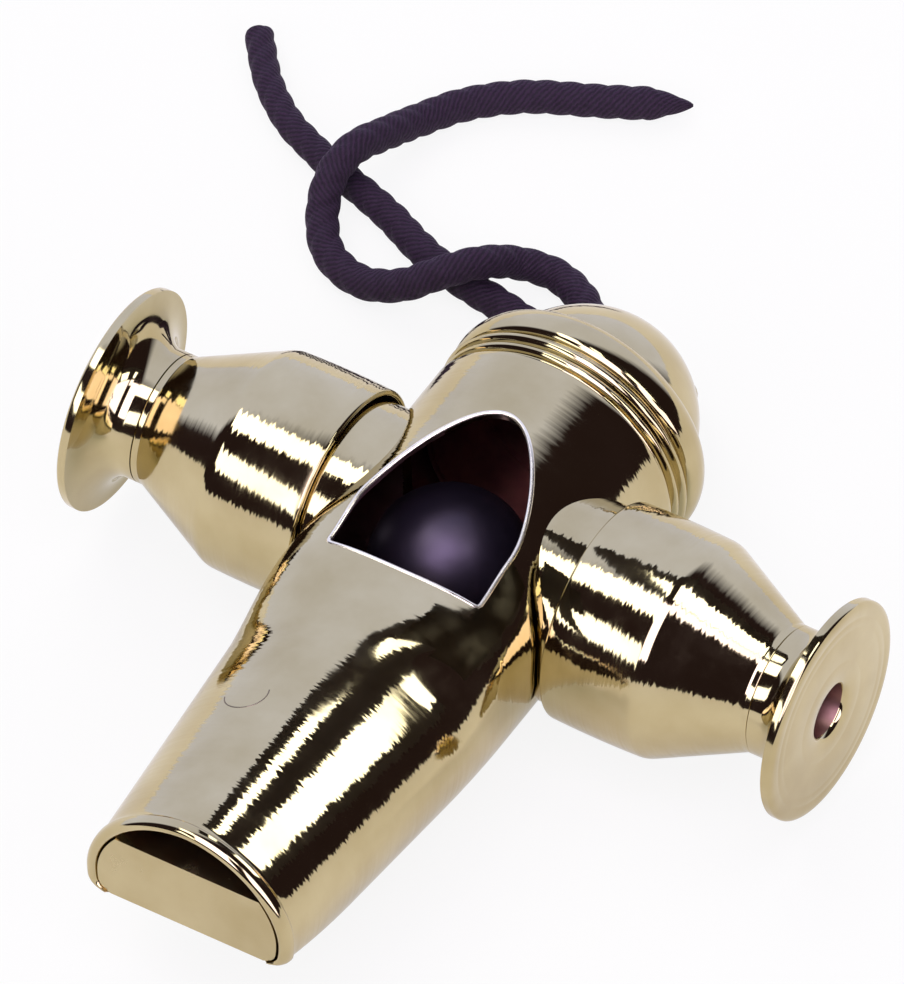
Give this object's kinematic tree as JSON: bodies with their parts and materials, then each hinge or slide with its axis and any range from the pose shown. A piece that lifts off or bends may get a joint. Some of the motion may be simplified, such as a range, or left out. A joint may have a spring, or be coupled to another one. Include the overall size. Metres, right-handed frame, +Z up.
{
  "type": "samba whistle",
  "caption": "Gold-plated tri-tone whistle: a tube with a beaked mouthpiece and arched window, side bulbs with finger-hole flanges, a loose pea inside and a neck cord.",
  "frame": {"origin": "on the table under the middle of the whistle, the cord left out", "axes": "+X to the right along the side bulbs, +Y back from the mouthpiece to the domed end, +Z up"},
  "size_m": [0.0803, 0.1015, 0.0224],
  "materials": {
    "gold_plate": "polished plating",
    "black_plastic": "satin",
    "black_cord": "twisted yarn"
  },
  "bodies": {
    "whistle": {"main_tube": "gold_plate", "fipple_block": "gold_plate", "end_cap": "gold_plate", "cord_loop": "gold_plate", "stub_left": "gold_plate", "stub_right": "gold_plate", "bulb_left": "gold_plate", "bulb_right": "gold_plate", "flange_left": "gold_plate", "flange_right": "gold_plate", "cord_bend": "black_cord", "cord_short_end": "black_cord", "cord_long_end": "black_cord"},
    "pea": {"pea": "black_plastic"}
  },
  "joints": [
    {"name": "pea_roll", "type": "slide", "parent": "whistle", "child": "pea", "axis": [0, 1, 0], "range_m": [-0.0045, 0.0022]}
  ]
}
